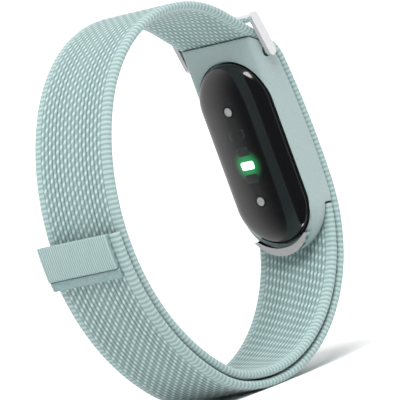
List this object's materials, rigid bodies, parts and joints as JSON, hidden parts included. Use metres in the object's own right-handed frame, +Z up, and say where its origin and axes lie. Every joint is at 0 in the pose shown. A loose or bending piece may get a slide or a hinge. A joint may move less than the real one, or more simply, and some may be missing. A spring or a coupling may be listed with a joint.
{
  "type": "fitness tracker band",
  "caption": "Screenless fitness tracker worn on the wrist: woven hook-and-loop strap, soft cradle, chrome ring and a glossy pill-shaped sensor capsule.",
  "frame": {"origin": "centre of the bounding box at the floor, the band standing on its strap", "axes": "+Z up, Y along the wrist, +X towards the sensor side"},
  "size_m": [0.0686, 0.0226, 0.0781],
  "materials": {
    "strap": "woven elastic",
    "hook_tape": "hook tape",
    "weld": "welded",
    "cradle": "soft touch",
    "ring_chrome": "polished",
    "capsule_black": "fine satin",
    "sensor_gloss": "gloss",
    "contact_metal": "satin",
    "spring_metal": "plated",
    "board": "solder mask",
    "battery": "foil",
    "tape": "film",
    "chip": "moulded",
    "barrier": "matt",
    "led": "lit",
    "photodiode": "clear coat",
    "antenna": "flex copper"
  },
  "bodies": {
    "band": {"strap_loop": "strap", "strap_tail": "strap", "cradle_frame": "cradle"},
    "strap_flap": {"strap_end": "strap", "hook_patch": "hook_tape", "end_tab_cover": "strap", "end_weld_bar": "weld"},
    "ring": {"strap_ring": "ring_chrome"},
    "capsule": {"capsule_base": "capsule_black", "sensor_cover": "sensor_gloss", "charge_contact_1": "contact_metal", "charge_contact_2": "contact_metal", "contact_spring_1": "spring_metal", "contact_spring_2": "spring_metal", "main_board": "board", "battery_cell": "battery", "battery_tape": "tape", "soc_chip": "chip", "motion_sensor": "chip", "optical_barrier": "barrier", "led_green": "led", "photodiode_1": "photodiode", "photodiode_2": "photodiode", "photodiode_3": "photodiode", "temperature_sensor": "chip", "antenna_strip": "antenna"},
    "button": {"button_cap": "ring_chrome"}
  },
  "joints": [
    {"name": "tab_peel", "type": "hinge", "parent": "band", "child": "strap_flap", "pos_m": [-0.03067, 0, 0.02605], "axis": [0, -1, 0], "range_deg": [0, 60]},
    {"name": "ring_pivot", "type": "hinge", "parent": "band", "child": "ring", "pos_m": [0.02528, 0, 0.06293], "axis": [0, 1, 0], "range_deg": [0, 30]},
    {"name": "capsule_release", "type": "slide", "parent": "band", "child": "capsule", "axis": [-0.9938, 0, -0.1115], "range_m": [0, 0.012]},
    {"name": "button_press", "type": "slide", "parent": "capsule", "child": "button", "axis": [-0.1115, 0, 0.9938], "range_m": [0, 0.0003], "stiffness_N_per_m": 400}
  ]
}
